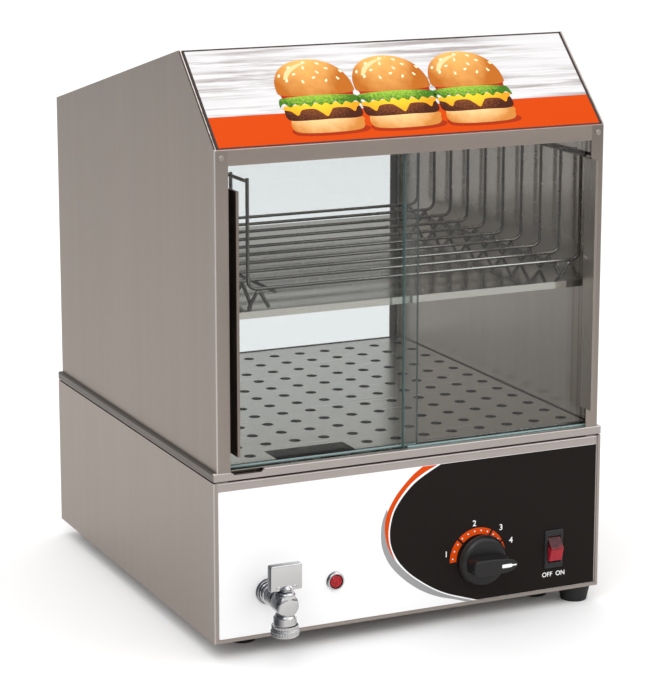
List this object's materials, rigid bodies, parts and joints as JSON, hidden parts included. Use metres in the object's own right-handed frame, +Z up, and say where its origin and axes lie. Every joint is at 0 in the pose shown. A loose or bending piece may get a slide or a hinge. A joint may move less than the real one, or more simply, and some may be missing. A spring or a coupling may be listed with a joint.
{
  "type": "hot dog steamer",
  "caption": "Counter-top food steamer: glass-fronted stainless cabinet with sliding doors and a wire bun basket, on a water-pan base with heat knob, switch, lamp and drain valve.",
  "frame": {"origin": "bottom centre of the whole object's bounding box, on the surface that the feet stand on", "axes": "+Z up, front (doors and controls) faces -Y, +X is the right-hand side seen from the front"},
  "size_m": [0.4, 0.4857, 0.5435],
  "materials": {
    "stainless": "brushed stainless sheet",
    "bright_steel": "bright rolled stainless",
    "wire": "bright stainless wire",
    "chrome": "polished chrome plate",
    "brass": "plain brass",
    "glass": "clear toughened glass with a green edge",
    "rubber": "black rubber",
    "black_plastic": "moulded black plastic",
    "red_plastic": "translucent red plastic",
    "label": "printed overlay, gloss",
    "sign": "printed sign, gloss",
    "zinc": "zinc plated",
    "element_sheath": "heat-tinted sheath",
    "phenolic": "moulded phenolic"
  },
  "bodies": {
    "case": {"base_shell": "stainless", "base_front_panel": "stainless", "bottom_plate": "stainless", "rim_deck": "stainless", "left_side_panel": "stainless", "right_side_panel": "stainless", "roof_panel": "stainless", "sign_panel": "stainless", "front_header": "stainless", "rear_header": "stainless", "upper_door_track": "stainless", "lower_door_track": "bright_steel", "window_channels": "stainless", "window_sill": "stainless", "water_pan": "bright_steel", "shelf": "bright_steel", "shelf_rails": "stainless", "rear_window": "glass", "cabinet_rivets": "bright_steel", "control_label": "label", "sign_graphic": "sign", "rubber_feet": "rubber", "foot_screws": "zinc", "foot_nuts": "zinc", "heat_control": "phenolic", "control_nut": "zinc", "power_switch": "black_plastic", "lamp_bezel": "chrome", "lamp_lens": "red_plastic", "low_water_probe": "brass", "heating_element": "element_sheath", "element_nuts": "brass", "element_supports": "bright_steel", "valve_escutcheon": "chrome", "valve_body": "chrome", "valve_nozzle": "chrome", "drain_pipe": "brass", "drain_union": "brass", "drain_nut": "brass", "cord_gland": "black_plastic", "gland_nut": "black_plastic", "terminal_block": "phenolic"},
    "left_door": {"left_glass_door": "glass", "left_door_handle": "stainless"},
    "right_door": {"right_glass_door": "glass", "right_door_handle": "stainless"},
    "knob": {"thermostat_knob": "black_plastic", "control_shaft": "zinc"},
    "rocker": {"power_rocker": "red_plastic"},
    "valve_lever": {"valve_handle": "chrome"},
    "basket": {"basket_wires": "wire", "basket_rails": "wire", "basket_cross_wires": "wire", "basket_feet": "wire"},
    "tray": {"perforated_tray": "bright_steel"}
  },
  "joints": [
    {"name": "left_door_slide", "type": "slide", "parent": "case", "child": "left_door", "axis": [1, 0, 0], "range_m": [0, 0.16]},
    {"name": "right_door_slide", "type": "slide", "parent": "case", "child": "right_door", "axis": [1, 0, 0], "range_m": [-0.16, 0]},
    {"name": "thermostat_turn", "type": "hinge", "parent": "case", "child": "knob", "pos_m": [0.0715, -0.20515, 0.059], "axis": [0, -1, 0], "range_deg": [0, 180]},
    {"name": "power_rock", "type": "hinge", "parent": "case", "child": "rocker", "pos_m": [0.15, -0.18815, 0.059], "axis": [1, 0, 0], "range_deg": [0, 24]},
    {"name": "drain_valve_turn", "type": "hinge", "parent": "case", "child": "valve_lever", "pos_m": [-0.1475, -0.22865, 0.0745], "axis": [0, 0, 1], "range_deg": [0, 90]},
    {"name": "basket_lift", "type": "slide", "parent": "case", "child": "basket", "axis": [0, 0, 1], "range_m": [0, 0.03]},
    {"name": "tray_lift", "type": "slide", "parent": "case", "child": "tray", "axis": [0, 0, 1], "range_m": [0, 0.1]}
  ]
}
